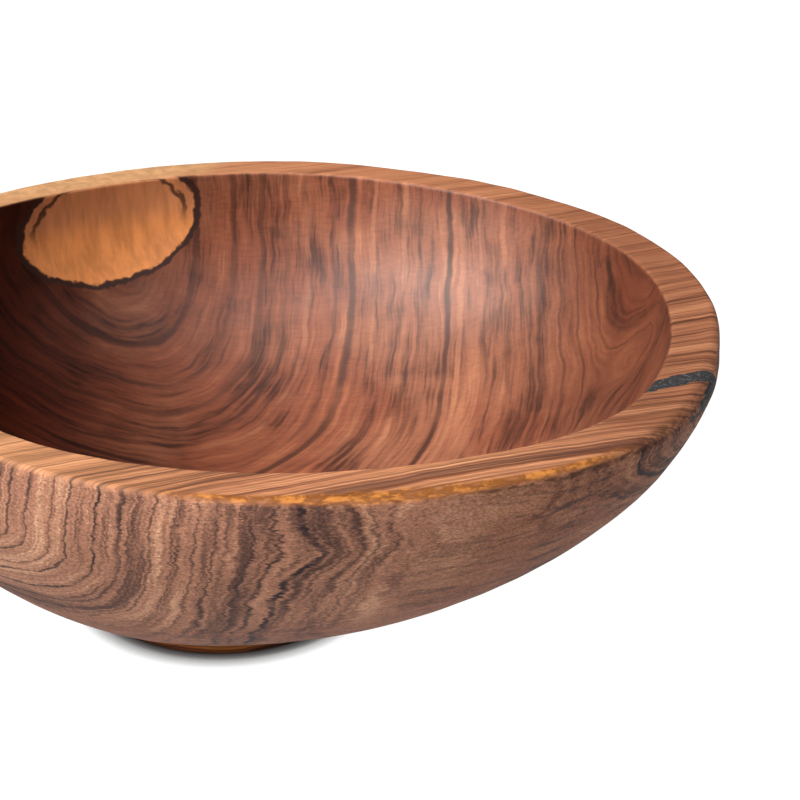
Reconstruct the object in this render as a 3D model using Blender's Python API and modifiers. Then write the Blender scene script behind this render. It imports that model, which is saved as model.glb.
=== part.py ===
"""Carved wooden bowl on a low round foot, with a filled natural crack across its rim.

Run with: blender --background --python part.py
Metres, +Z up. The origin is the centre of the foot's flat underside, on the table.
The bowl is turned true first, and then carved out of round the way the real one is:
its rim leans, waves and varies in width, and its mouth sits to one side of the foot.
"""

import math

import bmesh
import bpy
from mathutils import Vector

# ---- Driving dimensions ------------------------------------------------------

MOUTH_RADIUS = 0.125  # outer radius of the rim, before it is carved out of round
RIM_HEIGHT = 0.0916  # mean height of the rim's top above the table
RIM_WIDTH = 0.0128  # mean width of the flat rim
RIM_OUTER_ROUNDING = 0.0022
RIM_INNER_ROUNDING = 0.0008

FOOT_RADIUS = 0.0397
FOOT_HEIGHT = 0.0053
FOOT_ROUNDING = 0.0012
BOTTOM_RADIUS = 0.0361  # flat under the body, where the foot is glued on
FLOOR_THICKNESS = 0.0110  # wood between that flat and the hollow, at the centre

TENON_RADIUS = 0.0200  # round stub on the foot, glued into the body's socket
TENON_HEIGHT = 0.0040
TENON_CHAMFER = 0.0006

CRACK_FILL_RADIUS = 0.0027  # half the width of the filled crack across the rim
EDGE_FILL_RADIUS = 0.0019  # half its width where it runs on along the rim's edge

JOINT_GAP = 0.0003  # glue line between any two pieces
BASE_HEIGHT = FOOT_HEIGHT + JOINT_GAP  # of the body's flat bottom

# ---- Shape of the walls ------------------------------------------------------

# A wall's radius is (1 - (1 - height) ** FULLNESS) ** (1 / FLARE), both from 0 to 1.
OUTER_FULLNESS, OUTER_FLARE = 2.02, 1.10
INNER_FULLNESS, INNER_FLARE = 2.10, 1.75

# ---- Carved irregularity, as (cosine, sine) pairs for 1, 2, 3 ... waves a turn ----

MOUTH_OFFSET = Vector((0.0204, 0.0))  # centre of the mouth, seen from the foot's
OUTLINE_WAVES = ((0.0, 0.0), (-0.0006, -0.0005), (-0.0015, 0.0015), (-0.0002, 0.0001), (-0.0011, 0.0007))
HEIGHT_WAVES = ((-0.0059, -0.0031), (-0.0006, -0.0004), (-0.0009, -0.0002))
WIDTH_WAVES = ((0.0029, -0.0008), (-0.0008, -0.0010))

# ---- Fineness of the curved surfaces -------------------------------------------

TURN_STEPS = 72  # facets round the bowl
WALL_STEPS = 15  # facets up each wall
ROUNDING_STEPS = 3
FOOT_STEPS = 48
CRACK_POINTS = 9  # along each of the crack's two stretches
TUBE_ROUNDNESS = 3  # bevel resolution of the crack's tubes
SHARP_ANGLE = math.radians(40.0)  # edges that turn more than this stay crisp
WELD_DISTANCE = 0.00001
AXIS_WELD_DISTANCE = 0.0001  # joins the turned forms' points on the axis


def clear_scene():
    for obj in list(bpy.data.objects):
        bpy.data.objects.remove(obj, do_unlink=True)


def new_collection(name):
    collection = bpy.data.collections.new(name)
    bpy.context.scene.collection.children.link(collection)
    return collection


def principled(name, colour, roughness):
    material = bpy.data.materials.new(name)
    material.use_nodes = True
    shader = material.node_tree.nodes["Principled BSDF"]
    shader.inputs["Base Color"].default_value = (*colour, 1.0)
    shader.inputs["Roughness"].default_value = roughness
    shader.inputs["Metallic"].default_value = 0.0
    return material


# ---- Turned forms --------------------------------------------------------------


def arc(centre, radius, start, end, steps):
    """Points of an arc in the profile plane, from one angle to another in degrees."""
    points = []
    for i in range(steps + 1):
        angle = math.radians(start + (end - start) * i / steps)
        points.append((centre[0] + radius * math.cos(angle), centre[1] + radius * math.sin(angle)))
    return points


def wall_share(height, fullness, flare):
    """Radius of a wall at a height, as a share of its widest. Height runs from 0 to 1."""
    return (1.0 - (1.0 - height) ** fullness) ** (1.0 / flare)


def wall_steps():
    """Heights from 0 to 1 that crowd together low down, where the wall turns fastest."""
    return [(i / WALL_STEPS) ** 2 for i in range(WALL_STEPS + 1)]


def outer_radius(height):
    """Radius of the body's outer wall at a height above the table."""
    share = (height - BASE_HEIGHT) / (RIM_HEIGHT - RIM_OUTER_ROUNDING - BASE_HEIGHT)
    widening = wall_share(min(max(share, 0.0), 1.0), OUTER_FULLNESS, OUTER_FLARE)
    return BOTTOM_RADIUS + (MOUTH_RADIUS - BOTTOM_RADIUS) * widening


def body_profile():
    """(radius, height) of the turned body: hollow's floor, up, over the rim and down outside."""
    floor = BASE_HEIGHT + FLOOR_THICKNESS
    mouth = MOUTH_RADIUS - RIM_WIDTH
    inner_top = RIM_HEIGHT - RIM_INNER_ROUNDING
    outer_top = RIM_HEIGHT - RIM_OUTER_ROUNDING
    points = []
    for step in wall_steps():
        radius = mouth * wall_share(step, INNER_FULLNESS, INNER_FLARE)
        points.append((radius, floor + (inner_top - floor) * step))
    inner_centre = (mouth + RIM_INNER_ROUNDING, inner_top)
    outer_centre = (MOUTH_RADIUS - RIM_OUTER_ROUNDING, outer_top)
    points += arc(inner_centre, RIM_INNER_ROUNDING, 180, 90, ROUNDING_STEPS)[1:]
    points += arc(outer_centre, RIM_OUTER_ROUNDING, 90, 0, ROUNDING_STEPS)
    for step in reversed(wall_steps()[:-1]):
        height = BASE_HEIGHT + (outer_top - BASE_HEIGHT) * step
        points.append((outer_radius(height), height))
    points.append((0.0, BASE_HEIGHT))
    return points


def foot_profile():
    """(radius, height) of the foot: tenon, shoulder, side and flat underside."""
    tenon_top = FOOT_HEIGHT + TENON_HEIGHT
    side_centre = FOOT_RADIUS - FOOT_ROUNDING
    points = [(0.0, tenon_top), (TENON_RADIUS - TENON_CHAMFER, tenon_top)]
    points += [(TENON_RADIUS, tenon_top - TENON_CHAMFER), (TENON_RADIUS, FOOT_HEIGHT)]
    points += arc((side_centre, FOOT_HEIGHT - FOOT_ROUNDING), FOOT_ROUNDING, 90, 0, ROUNDING_STEPS)
    points += arc((side_centre, FOOT_ROUNDING), FOOT_ROUNDING, 0, -90, ROUNDING_STEPS)
    points.append((0.0, 0.0))
    return points


def turned(name, profile, steps, collection):
    """A solid of revolution about Z: the profile as an edge chain with a Screw modifier."""
    mesh = bpy.data.meshes.new(name)
    vertices = [(radius, 0.0, height) for radius, height in profile]
    edges = [(i, i + 1) for i in range(len(profile) - 1)]
    mesh.from_pydata(vertices, edges, [])
    obj = bpy.data.objects.new(name, mesh)
    collection.objects.link(obj)
    screw = obj.modifiers.new("turn", "SCREW")
    screw.steps = screw.render_steps = steps
    screw.use_merge_vertices = True
    screw.merge_threshold = AXIS_WELD_DISTANCE
    return obj


# ---- Carving out of round --------------------------------------------------------


def waves(angle, pairs):
    """Sum of the (cosine, sine) waves at this angle round the bowl."""
    return sum(
        c * math.cos((k + 1) * angle) + s * math.sin((k + 1) * angle) for k, (c, s) in enumerate(pairs)
    )


def carve(point):
    """Where a point of the true turned body ends up on the carved one.

    All changes grow from nothing at the body's flat bottom to their full size at the rim:
    the outline's waves with the wall's own widening, and the rest with the height.
    """
    radius, angle = math.hypot(point.x, point.y), math.atan2(point.y, point.x)
    rise = (point.z - BASE_HEIGHT) / (RIM_HEIGHT - BASE_HEIGHT)
    outer = outer_radius(point.z)
    widening = (outer - BOTTOM_RADIUS) / (MOUTH_RADIUS - BOTTOM_RADIUS)
    inwards = min(max((outer - radius) / RIM_WIDTH, 0.0), 1.0)
    level = 1.0 - (1.0 - radius / outer) ** 2
    thicker = rise * inwards * waves(angle, WIDTH_WAVES) / (MOUTH_RADIUS - RIM_WIDTH)
    radius *= 1.0 + widening * waves(angle, OUTLINE_WAVES) / outer - thicker
    return Vector(
        (
            radius * math.cos(angle) + rise * MOUTH_OFFSET.x,
            radius * math.sin(angle) + rise * MOUTH_OFFSET.y,
            point.z + rise * level * waves(angle, HEIGHT_WAVES),
        )
    )


def evaluated_mesh(obj):
    """The object's mesh with its modifiers applied."""
    graph = bpy.context.evaluated_depsgraph_get()
    return bpy.data.meshes.new_from_object(obj.evaluated_get(graph))


def carved(obj):
    """Applies the Screw modifier and moves each vertex from the true form to the carved one.

    The faces no longer lie flat after that, so they are split into triangles.
    """
    mesh = evaluated_mesh(obj)
    obj.modifiers.clear()
    obj.data = mesh
    shape = bmesh.new()
    shape.from_mesh(mesh)
    for vertex in shape.verts:
        vertex.co = carve(vertex.co)
    bmesh.ops.triangulate(shape, faces=shape.faces)
    shape.to_mesh(mesh)
    shape.free()
    return obj


def rim_point(angle, outwards):
    """A point on the carved rim's top. Outwards is 0 at its inner edge and 1 at its outer edge."""
    radius = MOUTH_RADIUS - RIM_WIDTH * (1.0 - outwards)
    return carve(Vector((radius * math.cos(angle), radius * math.sin(angle), RIM_HEIGHT)))


# ---- The crack and its fill --------------------------------------------------------

# The crack crosses the rim's top on a slant, and then turns sharply back along its outer edge.
CRACK_INNER_ANGLE = math.radians(-30.0)
CRACK_CORNER_ANGLE = math.radians(-18.5)
CRACK_END_ANGLE = math.radians(-37.0)
CRACK_OVERRUN = 0.30  # how far past the inner edge it starts, as a share of the rim's width
CORNER_OUTWARDS = 0.90  # where the two stretches meet, from the rim's inner edge to its outer one
END_OUTWARDS = 0.98
CORNER_DEPTH = 0.0008  # how far under the rim's top the middle of the fill lies there
END_DEPTH = 0.0020
NARROWEST_SHARE = 0.6  # of the stretch across the rim, as a share of its widest
SWELL_START, SWELL_LENGTH = 0.15, 0.6  # part of a half wave that its width follows
EDGE_NARROWING = 0.45  # share of its width that the stretch along the edge loses


def crack_swell(share):
    """Width across the rim at a share of the way, as a share of the widest."""
    swell = math.sin(math.pi * (SWELL_START + SWELL_LENGTH * share))
    return NARROWEST_SHARE + (1.0 - NARROWEST_SHARE) * swell


def crack_across():
    """(point, radius) along the stretch across the rim, widest past its middle."""
    path = []
    for i in range(CRACK_POINTS):
        share = i / (CRACK_POINTS - 1)
        angle = CRACK_INNER_ANGLE + (CRACK_CORNER_ANGLE - CRACK_INNER_ANGLE) * share
        point = rim_point(angle, -CRACK_OVERRUN + (CORNER_OUTWARDS + CRACK_OVERRUN) * share)
        point.z -= CORNER_DEPTH * share
        path.append((point, CRACK_FILL_RADIUS * crack_swell(share)))
    return path


def crack_along_edge():
    """(point, radius) along the stretch on the rim's outer edge, narrowing to its end."""
    path = []
    for i in range(CRACK_POINTS):
        share = i / (CRACK_POINTS - 1)
        angle = CRACK_CORNER_ANGLE + (CRACK_END_ANGLE - CRACK_CORNER_ANGLE) * share
        point = rim_point(angle, CORNER_OUTWARDS + (END_OUTWARDS - CORNER_OUTWARDS) * share)
        point.z -= CORNER_DEPTH + (END_DEPTH - CORNER_DEPTH) * share
        path.append((point, EDGE_FILL_RADIUS * (1.0 - EDGE_NARROWING * share)))
    return path


def grown(path, growth):
    """The path of a tube that is larger by growth on all sides and at both ends."""
    points = [point for point, _ in path]
    ahead = (points[0] - points[1]).normalized() * growth
    beyond = (points[-1] - points[-2]).normalized() * growth
    points = [points[0] + ahead, *points[1:-1], points[-1] + beyond]
    return [(point, radius + growth) for point, (_, radius) in zip(points, path)]


def tube(name, path, collection):
    """A closed tube along (point, radius) pairs: a curve made a mesh."""
    curve = bpy.data.curves.new(name, "CURVE")
    curve.dimensions = "3D"
    curve.bevel_depth = 1.0
    curve.bevel_resolution = TUBE_ROUNDNESS
    curve.use_fill_caps = True
    spline = curve.splines.new("POLY")
    spline.points.add(len(path) - 1)
    for target, (point, radius) in zip(spline.points, path):
        target.co = (*point, 1.0)
        target.radius = radius
    guide = bpy.data.objects.new(name, curve)
    collection.objects.link(guide)
    mesh = evaluated_mesh(guide)
    bpy.data.objects.remove(guide, do_unlink=True)
    shape = bmesh.new()
    shape.from_mesh(mesh)
    bmesh.ops.remove_doubles(shape, verts=shape.verts, dist=WELD_DISTANCE)
    shape.to_mesh(mesh)
    shape.free()
    made = bpy.data.objects.new(name, mesh)
    collection.objects.link(made)
    return made


def as_helper(obj):
    obj.hide_render = True
    obj.display_type = "WIRE"
    return obj


def boolean(obj, other, operation):
    modifier = obj.modifiers.new(operation.lower(), "BOOLEAN")
    modifier.operation = operation
    modifier.object = other
    modifier.solver = "EXACT"


# ---- The pieces --------------------------------------------------------------------


def make_foot(collection):
    foot = turned("foot", foot_profile(), FOOT_STEPS, collection)
    foot.data.materials.append(principled("foot_wood", (0.36, 0.17, 0.06), 0.5))
    return foot


def make_body(collection):
    body = carved(turned("bowl_body", body_profile(), TURN_STEPS, collection))
    body.data.materials.append(principled("bowl_wood", (0.27, 0.11, 0.055), 0.4))
    body.data.shade_smooth()
    body.data.set_sharp_from_angle(angle=SHARP_ANGLE)
    return body


def make_crack_filler(body, collection, cutters):
    """What the crack's space and the body share, taken before the body is cut."""
    filler = tube("crack_filler", crack_across(), collection)
    along = as_helper(tube("edge_fill", crack_along_edge(), cutters))
    uncut = as_helper(body.copy())
    uncut.name = "uncut_body"
    cutters.objects.link(uncut)
    boolean(filler, along, "UNION")
    boolean(filler, uncut, "INTERSECT")
    filler.data.materials.append(principled("filler", (0.035, 0.035, 0.04), 0.75))
    return filler


def cut_crack(body, cutters):
    """Opens the crack in the body, a glue line wider than its filler."""
    for name, path in (("crack_cutter", crack_across()), ("edge_cutter", crack_along_edge())):
        boolean(body, as_helper(tube(name, grown(path, JOINT_GAP), cutters)), "DIFFERENCE")


def cut_socket(body, cutters):
    """Cuts the socket for the foot's tenon, a glue line wider and deeper than the tenon."""
    top = FOOT_HEIGHT + TENON_HEIGHT + JOINT_GAP
    bpy.ops.mesh.primitive_cylinder_add(
        vertices=FOOT_STEPS, radius=TENON_RADIUS + JOINT_GAP, depth=top, location=(0.0, 0.0, top / 2)
    )
    cutter = as_helper(bpy.context.object)
    cutter.name = "socket_cutter"
    for owner in list(cutter.users_collection):
        owner.objects.unlink(cutter)
    cutters.objects.link(cutter)
    boolean(body, cutter, "DIFFERENCE")


def main():
    clear_scene()
    bowl = new_collection("yarn_bowl")
    cutters = new_collection("cutters")
    make_foot(bowl)
    body = make_body(bowl)
    make_crack_filler(body, bowl, cutters)
    cut_crack(body, cutters)
    cut_socket(body, cutters)


main()
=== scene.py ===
"""Looks of the carved wooden bowl: figured heartwood, a cap of sapwood, a filled crack and a low foot.

Lengths of shapes are in metres, and the growth fields that place the figure are in millimetres.
"""

import functools
import math

import bpy
import numpy as np
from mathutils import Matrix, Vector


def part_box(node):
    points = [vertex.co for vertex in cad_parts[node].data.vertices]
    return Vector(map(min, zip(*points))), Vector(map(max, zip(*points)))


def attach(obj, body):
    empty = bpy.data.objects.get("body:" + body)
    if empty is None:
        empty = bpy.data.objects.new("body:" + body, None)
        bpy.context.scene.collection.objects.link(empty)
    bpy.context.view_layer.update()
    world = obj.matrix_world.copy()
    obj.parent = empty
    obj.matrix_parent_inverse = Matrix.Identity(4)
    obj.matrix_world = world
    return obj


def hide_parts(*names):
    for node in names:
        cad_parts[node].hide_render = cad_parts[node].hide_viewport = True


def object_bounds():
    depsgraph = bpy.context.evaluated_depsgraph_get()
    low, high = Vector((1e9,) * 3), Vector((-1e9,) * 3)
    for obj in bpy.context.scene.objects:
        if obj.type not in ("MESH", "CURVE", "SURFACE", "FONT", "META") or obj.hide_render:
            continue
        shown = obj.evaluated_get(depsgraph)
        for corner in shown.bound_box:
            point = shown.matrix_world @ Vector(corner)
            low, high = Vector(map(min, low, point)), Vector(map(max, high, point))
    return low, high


bl_info = {
    "name": "Carved wooden bowl",
    "version": (1, 0, 0),
    "blender": (4, 5, 0),
    "location": "3D view > Sidebar > Bowl",
    "description": "Surfaces, wood and stage of a carved bowl with a filled crack",
    "category": "Object",
}

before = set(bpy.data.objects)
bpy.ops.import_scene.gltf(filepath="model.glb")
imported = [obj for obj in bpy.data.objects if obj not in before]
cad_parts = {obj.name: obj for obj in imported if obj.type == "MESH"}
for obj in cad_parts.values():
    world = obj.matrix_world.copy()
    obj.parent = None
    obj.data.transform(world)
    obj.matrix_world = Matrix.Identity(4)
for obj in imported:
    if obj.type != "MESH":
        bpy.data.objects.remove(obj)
cad_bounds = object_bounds()
BODY_LOW, BODY_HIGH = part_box("bowl_body")
FOOT_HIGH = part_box("foot")[1]

MM = 0.001
JOINT_GAP = 0.0003

# ---- Carved irregularity, as (cosine, sine) pairs for 1, 2, 3 ... waves a turn ----

OUTLINE_WAVES = ((0.0, 0.0), (-0.0006, -0.0005), (-0.0015, 0.0015), (-0.0002, 0.0001), (-0.0011, 0.0007))
HEIGHT_WAVES = ((-0.0059, -0.0031), (-0.0006, -0.0004), (-0.0009, -0.0002))
WIDTH_WAVES = ((0.0029, -0.0008), (-0.0008, -0.0010))


def waves(angle, pairs):
    """Sum over k of cosine_k times cos(k angle) plus sine_k times sin(k angle)."""
    turns = np.arange(1, len(pairs) + 1)
    cosines, sines = np.array(pairs).T
    phase = np.asarray(angle)[..., None] * turns
    return np.cos(phase) @ cosines + np.sin(phase) @ sines


def full_turn(steps):
    """Angles evenly round a turn from minus pi, without its end."""
    return np.linspace(-math.pi, math.pi, steps, endpoint=False)


HIGHEST_WAVE = float(waves(full_turn(720), HEIGHT_WAVES).max())


# ---- Sizes and colours that a maker would change ----


def length(name, description, default):
    """A length property in metres."""
    return bpy.props.FloatProperty(
        name=name, description=description, default=float(default), min=0.0, unit="LENGTH", precision=4
    )


def colour(name, description, default):
    """A colour property in scene-linear values."""
    return bpy.props.FloatVectorProperty(
        name=name, description=description, default=default, min=0.0, max=1.0, size=3, subtype="COLOR"
    )


class BowlSizes(bpy.types.PropertyGroup):
    """Sizes of the bowl before it is carved out of round."""

    mouth_radius: length("Mouth radius", "Outer radius of the rim", (BODY_HIGH[0] - BODY_LOW[0]) / 2)
    rim_height: length("Rim height", "Mean height of the rim's top", BODY_HIGH[2] - HIGHEST_WAVE)
    rim_width: length("Rim width", "Mean width of the flat rim", 0.0128)
    mouth_offset: length("Mouth offset", "Centre of the mouth from the foot's, towards +X", 0.0204)
    base_height: length("Base height", "Height of the body's flat bottom", BODY_LOW[2])
    bottom_radius: length("Bottom radius", "Radius of the body's flat bottom", 0.0361)
    floor_thickness: length("Floor thickness", "Wood under the middle of the hollow", 0.0110)
    foot_radius: length("Foot radius", "Radius of the foot", FOOT_HIGH[0])
    foot_height: length("Foot height", "Height of the foot's top", BODY_LOW[2] - JOINT_GAP)


class BowlColours(bpy.types.PropertyGroup):
    """Colours of the bowl's woods and of the crack's fill."""

    inside_dark: colour("Inside, dark", "Late wood inside the bowl", (0.075, 0.024, 0.013))
    inside_mid: colour("Inside, middle", "Main colour inside the bowl", (0.28, 0.098, 0.050))
    inside_light: colour("Inside, light", "Early wood inside the bowl", (0.45, 0.18, 0.090))
    rim_dark: colour("Rim, dark", "Late wood on the rim", (0.15, 0.055, 0.028))
    rim_mid: colour("Rim, middle", "Main colour of the rim", (0.40, 0.160, 0.077))
    rim_light: colour("Rim, light", "Early wood on the rim", (0.60, 0.275, 0.132))
    rim_line: colour("Rim, line", "Darkest lines on the rim", (0.07, 0.032, 0.026))
    chip: colour("Chips", "Pale chips on the inner edge of the rim", (0.75, 0.60, 0.50))
    wall_dark: colour("Wall, dark", "Late wood on the outer wall", (0.095, 0.045, 0.035))
    wall_mid: colour("Wall, middle", "Main colour of the outer wall", (0.36, 0.166, 0.103))
    wall_light: colour("Wall, light", "Early wood on the outer wall", (0.58, 0.32, 0.195))
    # Tint of the right and lowest outer wall: browner wood, and partly painted shade where the wall faces
    # away from the light and down to the floor.
    wall_umber_and_shade: colour("Wall, umber", "Tint of the smoky wood on the right of the wall", (0.69, 0.58, 0.54))
    growth_line: colour("Growth line", "The darkest growth lines", (0.03, 0.018, 0.02))
    sapwood: colour("Sapwood", "Pale sapwood at the back left", (0.74, 0.275, 0.085))
    sapwood_rim: colour("Sapwood on the rim", "Sapwood where the rim is sanded", (0.52, 0.28, 0.13))
    # Tint of the left of the hollow: dark red heartwood, and partly painted shade where that wall faces away
    # from the light.
    inside_heart_and_shade: colour("Inside, heart", "Tint of the dark red heartwood at the left", (0.15, 0.048, 0.022))
    inside_ruddy: colour("Inside, ruddy", "Tint of the redder clouds inside", (0.80, 0.62, 0.55))
    inside_umber: colour("Inside, umber", "Tint of the browner wood at the right", (0.51, 0.41, 0.36))
    rim_umber: colour("Rim, umber", "Tint of the browner rim at the right", (0.70, 0.66, 0.68))
    border: colour("Border", "Line between the sapwood and the heartwood", (0.032, 0.013, 0.010))
    edge_glow: colour("Orange edge", "Orange wood along the front edge", (0.20, 0.066, 0.013))
    edge_light: colour("Orange edge, light", "Brightest streaks of the orange edge", (0.48, 0.180, 0.040))
    # A darker brown along the front right of the outer edge and just under the orange band.
    edge_dark_brown: colour("Burnt edge", "Dark brown stain along the edge", (0.05, 0.022, 0.012))
    filler: colour("Filler", "Charcoal fill of the crack", (0.022, 0.020, 0.020))
    filler_speck: colour("Filler, specks", "Pale specks in the fill", (0.25, 0.25, 0.27))
    foot_dark: colour("Foot, dark", "Late wood of the foot", (0.032, 0.008, 0.003))
    foot_mid: colour("Foot, middle", "Main colour of the foot", (0.130, 0.034, 0.006))
    foot_light: colour("Foot, light", "Early wood of the foot", (0.26, 0.082, 0.015))


# ---- The bowl's surface ----

# A wall's radius is (1 - (1 - height) ** FULLNESS) ** (1 / FLARE), both from 0 to 1.
OUTER_FULLNESS, OUTER_FLARE = 2.02, 1.10
INNER_FULLNESS, INNER_FLARE = 2.10, 1.75
FRAME_ROUNDING = 0.0022  # rounding that the outer wall's formula is worked out for
INNER_ROUNDING = 0.0009
FOOT_EDGE = 0.0012  # radius of the foot's softened edges
INNER_CROWDING = 1.7  # crowds the inner wall's stations towards the floor
OUTER_CROWDING = 1.6  # crowds the outer wall's stations towards the bottom
STRETCHES = 6  # inner wall, inner rounding, flat rim, outer rounding, outer wall and flat bottom


def wall_share(height, fullness, flare):
    """(1 - (1 - height) to the fullness) to one over the flare."""
    return (1.0 - (1.0 - np.clip(height, 0.0, 1.0)) ** fullness) ** (1.0 / flare)


def outer_radius(height, size):
    """Radius of the outer wall before carving: the bottom's, plus the widening times the wall's share."""
    share = (height - size.base_height) / (size.rim_height - FRAME_ROUNDING - size.base_height)
    widening = wall_share(share, OUTER_FULLNESS, OUTER_FLARE)
    return size.bottom_radius + (size.mouth_radius - size.bottom_radius) * widening


def smooth_step(value, low, high):
    """0 below low, 1 above high, and a smooth S between."""
    share = np.clip((value - low) / (high - low), 0.0, 1.0)
    return share * share * (3.0 - 2.0 * share)


def hump(angle, middle, width):
    """A smooth hump of height 1 round the middle angle: e to minus the square of the turn over the width."""
    turn = np.angle(np.exp(1j * (angle - math.radians(middle))))
    return np.exp(-((turn / math.radians(width)) ** 2))


def outer_rounding(angle):
    """Rounding of the rim's outer edge: crisp at the left, softer in front, broad at the right."""
    return 0.0011 + 0.0012 * hump(angle, -72.0, 28.0) + 0.0036 * hump(angle, -20.0, 24.0)


def inner_stretches(size, walk, even):
    """(radius, height) along the inner wall, by its share, and a quarter circle over its top edge."""
    mouth = size.mouth_radius - size.rim_width
    floor = size.base_height + size.floor_thickness
    top = size.rim_height - INNER_ROUNDING
    climb = walk[:, 0] ** INNER_CROWDING
    turn = 0.5 * math.pi * walk[:, 1]
    share = wall_share(climb, INNER_FULLNESS, INNER_FLARE)
    wall = (mouth * share + even, floor + (top - floor) * climb + even)
    arc_radius = mouth + INNER_ROUNDING * (1.0 - np.cos(turn)) + even
    return wall, (arc_radius, top + INNER_ROUNDING * np.sin(turn) + even)


def outer_stretches(size, angle, walk, even):
    """(radius, height) along the flat rim, a quarter circle over its outer edge, the wall and the bottom."""
    rounding = outer_rounding(angle)
    start = size.mouth_radius - size.rim_width + INNER_ROUNDING
    top = size.rim_height - rounding
    top_radius = outer_radius(top, size)
    turn = 0.5 * math.pi * walk[:, 3]
    fall = size.base_height + (top - size.base_height) * (1.0 - walk[:, 4]) ** OUTER_CROWDING
    return (
        (start + (top_radius - rounding - start) * walk[:, 2], size.rim_height + even * walk[:, 2]),
        (top_radius - rounding * (1.0 - np.sin(turn)), top + rounding * np.cos(turn)),
        (outer_radius(fall, size), fall),
        (size.bottom_radius * (1.0 - walk[:, 5]) + even, size.base_height + even * walk[:, 5]),
    )


def body_profile(size, angle, station):
    """(radius, height) before carving, a row for each station and a column for each angle.

    A station's whole part picks the stretch, and its fraction is the place along that stretch.
    """
    walk = np.clip(station[:, None] - np.arange(STRETCHES), 0.0, 1.0)[:, :, None]
    even = np.zeros_like(angle)
    stretches = (*inner_stretches(size, walk, even), *outer_stretches(size, angle, walk, even))
    radii, heights = (np.stack(part) for part in zip(*stretches))
    stretch = np.clip(np.ceil(station) - 1, 0, STRETCHES - 1).astype(int)
    rows = np.arange(len(station))
    return radii[stretch, rows], heights[stretch, rows]


def carve(radius, angle, height, size):
    """Points of the carved bowl from points of the true turned one.

    With rise from 0 at the flat bottom to 1 at the rim, the outline's waves grow with the
    wall's widening, the width's waves with the rise on the inner side only, and the lean of
    the rim and the mouth's offset with the rise.
    """
    rise = (height - size.base_height) / (size.rim_height - size.base_height)
    outer = outer_radius(height, size)
    widening = (outer - size.bottom_radius) / (size.mouth_radius - size.bottom_radius)
    inwards = np.clip((outer - radius) / size.rim_width, 0.0, 1.0)
    level = 1.0 - (1.0 - radius / outer) ** 2
    thicker = rise * inwards * waves(angle, WIDTH_WAVES) / (size.mouth_radius - size.rim_width)
    carved = radius * (1.0 + widening * waves(angle, OUTLINE_WAVES) / outer - thicker)
    return np.stack(
        [
            carved * np.cos(angle) + rise * size.mouth_offset,
            carved * np.sin(angle),
            height + rise * level * waves(angle, HEIGHT_WAVES),
        ],
        axis=-1,
    )


def lumps(points, wavelength, seed, count=10):
    """Smooth unevenness about -1 to 1: a sum of sine waves in seeded random directions."""
    random = np.random.default_rng(seed)
    directions = random.normal(size=(count, 3))
    directions /= np.linalg.norm(directions, axis=1, keepdims=True)
    lengths = wavelength * random.uniform(0.7, 1.5, count)
    phases = random.uniform(0.0, 2.0 * math.pi, count)
    turns = points @ (directions * (2.0 * math.pi / lengths[:, None])).T + phases
    return np.sin(turns).sum(axis=-1) / math.sqrt(2.0 * count)


def normals_of(grid):
    """Unit normals of a surface grid: the cross of its slope along the rows and round the columns."""
    along = np.gradient(grid, axis=0)
    around = np.gradient(grid, axis=1)
    normal = np.cross(along, around)
    return normal / np.maximum(np.linalg.norm(normal, axis=-1, keepdims=True), 1e-12)


# ---- The crack ----

CRACK_POINTS = 9
CRACK_START, CRACK_CORNER, CRACK_END = -30.5, -17.7, -34.5  # degrees, at the inner edge, outer edge and end
CRACK_GAP = 0.00012  # the fill shows this far below the wood round it
CRACK_DEPTH = 0.0011
FILLER_DEPTH = 0.00176  # the fill reaches this far down, past the crack's floor
FILLER_MARGIN = 0.25  # millimetres that the fill reaches past the crack's outline


def rim_point(angle, outwards, size):
    """A point on the carved rim's top, with outwards 0 at its inner edge and 1 at its outer edge."""
    radius = size.mouth_radius - size.rim_width * (1.0 - outwards)
    return carve(radius, angle, np.full_like(angle, size.rim_height), size)


def crack_path(size):
    """Points and half widths of the crack: across the rim on a slant, then back along its outer edge."""
    share = np.linspace(0.0, 1.0, CRACK_POINTS)
    across_angle = CRACK_START + (CRACK_CORNER - CRACK_START) * share + 1.0 * np.sin(math.pi * share)
    across = rim_point(np.radians(across_angle), -0.22 + 1.17 * share, size)
    across[:, 2] -= 0.0008 * share**2
    along_angle = CRACK_CORNER + (CRACK_END - CRACK_CORNER) * share
    along = rim_point(np.radians(along_angle), 0.96 + 0.05 * share, size)
    along[:, 2] -= 0.0014 + 0.0026 * np.sqrt(share)
    widths = 0.0016 + 0.0014 * np.sin(math.pi * np.clip(0.1 + 0.7 * share, 0.0, 1.0))
    thin = 0.0021 * (1.0 - 0.6 * share)
    return (across, widths), (along, thin)


def distance_from_crack(points, size):
    """Distance from the fill's outline, negative inside it.

    It is the least, over the path's pieces, of the distance less the half width, made a little uneven.
    """
    nearest = np.full(points.shape[:-1], 1.0)
    for path, widths in crack_path(size):
        for start, end, wide, narrow in zip(path[:-1], path[1:], widths[:-1], widths[1:]):
            step = end - start
            share = np.clip((points - start) @ step / (step @ step), 0.0, 1.0)
            away = np.linalg.norm(points - start - share[..., None] * step, axis=-1)
            nearest = np.minimum(nearest, away - wide - (narrow - wide) * share)
    return nearest + 0.00035 * lumps(points, 0.006, 5)


# ---- Growth fields: numbers that are the same all along one growth line ----

RIM_SLOPE = (-0.42, 0.91)  # growth a millimetre along X and Y on the rim


def rim_growth(x, y):
    """A plain slope across the rim, so that its growth lines are straight."""
    return RIM_SLOPE[0] * x + RIM_SLOPE[1] * y


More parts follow.
